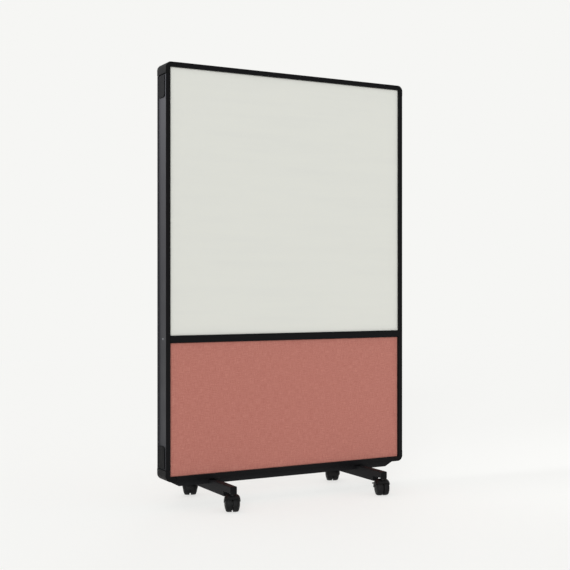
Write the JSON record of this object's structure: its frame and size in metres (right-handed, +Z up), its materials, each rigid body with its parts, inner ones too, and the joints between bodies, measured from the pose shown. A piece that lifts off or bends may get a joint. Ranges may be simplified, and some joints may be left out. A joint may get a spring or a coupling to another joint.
{
  "type": "rolling partition",
  "caption": "Upright room divider on casters: black frame, whiteboard above and fabric pin board below on both sides, on two bolted feet.",
  "frame": {"origin": "on the floor under the middle of the frame", "axes": "+X to the right seen from the front, +Y from the front face to the back, +Z up"},
  "size_m": [1.2024, 0.4984, 1.8866],
  "materials": {
    "anodised_frame": "black anodised satin",
    "black_moulding": "black moulded, fine texture",
    "enamel_white": "white enamelled steel writing surface",
    "terracotta_cloth": "terracotta woven cloth",
    "honeycomb_core": "paper honeycomb between boards",
    "black_steel": "black powder-coated steel",
    "zinc_steel": "bright zinc plate",
    "black_nylon": "black moulded nylon"
  },
  "bodies": {
    "frame": {"stile_left": "anodised_frame", "stile_right": "anodised_frame", "top_rail": "anodised_frame", "bottom_rail": "anodised_frame", "mid_rail": "anodised_frame", "corner_cap_bottom_left": "black_moulding", "corner_cap_bottom_right": "black_moulding", "corner_cap_top_left": "black_moulding", "corner_cap_top_right": "black_moulding", "channel_insert_bottom_left": "black_moulding", "channel_insert_bottom_right": "black_moulding", "channel_insert_top_left": "black_moulding", "channel_insert_top_right": "black_moulding", "foot_end_cap_front_left": "black_moulding", "foot_end_cap_front_right": "black_moulding", "foot_end_cap_rear_left": "black_moulding", "foot_end_cap_rear_right": "black_moulding", "whiteboard_front": "enamel_white", "whiteboard_back": "enamel_white", "fabric_board_front": "terracotta_cloth", "fabric_board_back": "terracotta_cloth", "upper_core": "honeycomb_core", "lower_core": "honeycomb_core", "base_beam": "black_steel", "foot_left": "black_steel", "foot_right": "black_steel", "foot_bracket_left": "zinc_steel", "foot_bracket_right": "zinc_steel", "nut_plate_left": "zinc_steel", "nut_plate_right": "zinc_steel", "foot_bolt_front_left": "zinc_steel", "foot_bolt_rear_left": "zinc_steel", "foot_bolt_front_right": "zinc_steel", "foot_bolt_rear_right": "zinc_steel", "beam_screw_left": "zinc_steel", "beam_screw_right": "zinc_steel", "mid_rail_screw_left": "zinc_steel", "mid_rail_screw_right": "zinc_steel", "caster_stem_front_left": "zinc_steel", "caster_stem_front_right": "zinc_steel", "caster_stem_rear_left": "zinc_steel", "caster_stem_rear_right": "zinc_steel"},
    "caster_front_left": {"caster_hood_front_left": "black_nylon", "caster_axle_front_left": "zinc_steel"},
    "wheel_a_front_left": {"caster_wheel_a_front_left": "black_nylon"},
    "wheel_b_front_left": {"caster_wheel_b_front_left": "black_nylon"},
    "pedal_front_left": {"brake_pedal_front_left": "black_nylon"},
    "caster_front_right": {"caster_hood_front_right": "black_nylon", "caster_axle_front_right": "zinc_steel"},
    "wheel_a_front_right": {"caster_wheel_a_front_right": "black_nylon"},
    "wheel_b_front_right": {"caster_wheel_b_front_right": "black_nylon"},
    "pedal_front_right": {"brake_pedal_front_right": "black_nylon"},
    "caster_rear_left": {"caster_hood_rear_left": "black_nylon", "caster_axle_rear_left": "zinc_steel"},
    "wheel_a_rear_left": {"caster_wheel_a_rear_left": "black_nylon"},
    "wheel_b_rear_left": {"caster_wheel_b_rear_left": "black_nylon"},
    "caster_rear_right": {"caster_hood_rear_right": "black_nylon", "caster_axle_rear_right": "zinc_steel"},
    "wheel_a_rear_right": {"caster_wheel_a_rear_right": "black_nylon"},
    "wheel_b_rear_right": {"caster_wheel_b_rear_right": "black_nylon"}
  },
  "joints": [
    {"name": "swivel_front_left", "type": "hinge", "parent": "frame", "child": "caster_front_left", "pos_m": [-0.3735, -0.22, 0.078], "axis": [0, 0, 1], "continuous": true},
    {"name": "roll_a_front_left", "type": "hinge", "parent": "caster_front_left", "child": "wheel_a_front_left", "pos_m": [-0.36975, -0.21073, 0.035], "axis": [0.9272, -0.3746, 0], "continuous": true},
    {"name": "roll_b_front_left", "type": "hinge", "parent": "caster_front_left", "child": "wheel_b_front_left", "pos_m": [-0.36975, -0.21073, 0.035], "axis": [0.9272, -0.3746, 0], "continuous": true},
    {"name": "brake_front_left", "type": "hinge", "parent": "caster_front_left", "child": "pedal_front_left", "pos_m": [-0.35421, -0.17225, 0.047], "axis": [0.9272, -0.3746, 0], "range_deg": [-24, 0]},
    {"name": "swivel_front_right", "type": "hinge", "parent": "frame", "child": "caster_front_right", "pos_m": [0.3735, -0.22, 0.078], "axis": [0, 0, 1], "continuous": true},
    {"name": "roll_a_front_right", "type": "hinge", "parent": "caster_front_right", "child": "wheel_a_front_right", "pos_m": [0.37642, -0.21044, 0.035], "axis": [0.9563, -0.2924, 0], "continuous": true},
    {"name": "roll_b_front_right", "type": "hinge", "parent": "caster_front_right", "child": "wheel_b_front_right", "pos_m": [0.37642, -0.21044, 0.035], "axis": [0.9563, -0.2924, 0], "continuous": true},
    {"name": "brake_front_right", "type": "hinge", "parent": "caster_front_right", "child": "pedal_front_right", "pos_m": [0.38856, -0.17075, 0.047], "axis": [0.9563, -0.2924, 0], "range_deg": [-24, 0]},
    {"name": "swivel_rear_left", "type": "hinge", "parent": "frame", "child": "caster_rear_left", "pos_m": [-0.3735, 0.22, 0.078], "axis": [0, 0, 1], "continuous": true},
    {"name": "roll_a_rear_left", "type": "hinge", "parent": "caster_rear_left", "child": "wheel_a_rear_left", "pos_m": [-0.37725, 0.21073, 0.035], "axis": [-0.9272, 0.3746, 0], "continuous": true},
    {"name": "roll_b_rear_left", "type": "hinge", "parent": "caster_rear_left", "child": "wheel_b_rear_left", "pos_m": [-0.37725, 0.21073, 0.035], "axis": [-0.9272, 0.3746, 0], "continuous": true},
    {"name": "swivel_rear_right", "type": "hinge", "parent": "frame", "child": "caster_rear_right", "pos_m": [0.3735, 0.22, 0.078], "axis": [0, 0, 1], "continuous": true},
    {"name": "roll_a_rear_right", "type": "hinge", "parent": "caster_rear_right", "child": "wheel_a_rear_right", "pos_m": [0.36975, 0.21073, 0.035], "axis": [-0.9272, 0.3746, 0], "continuous": true},
    {"name": "roll_b_rear_right", "type": "hinge", "parent": "caster_rear_right", "child": "wheel_b_rear_right", "pos_m": [0.36975, 0.21073, 0.035], "axis": [-0.9272, 0.3746, 0], "continuous": true}
  ]
}
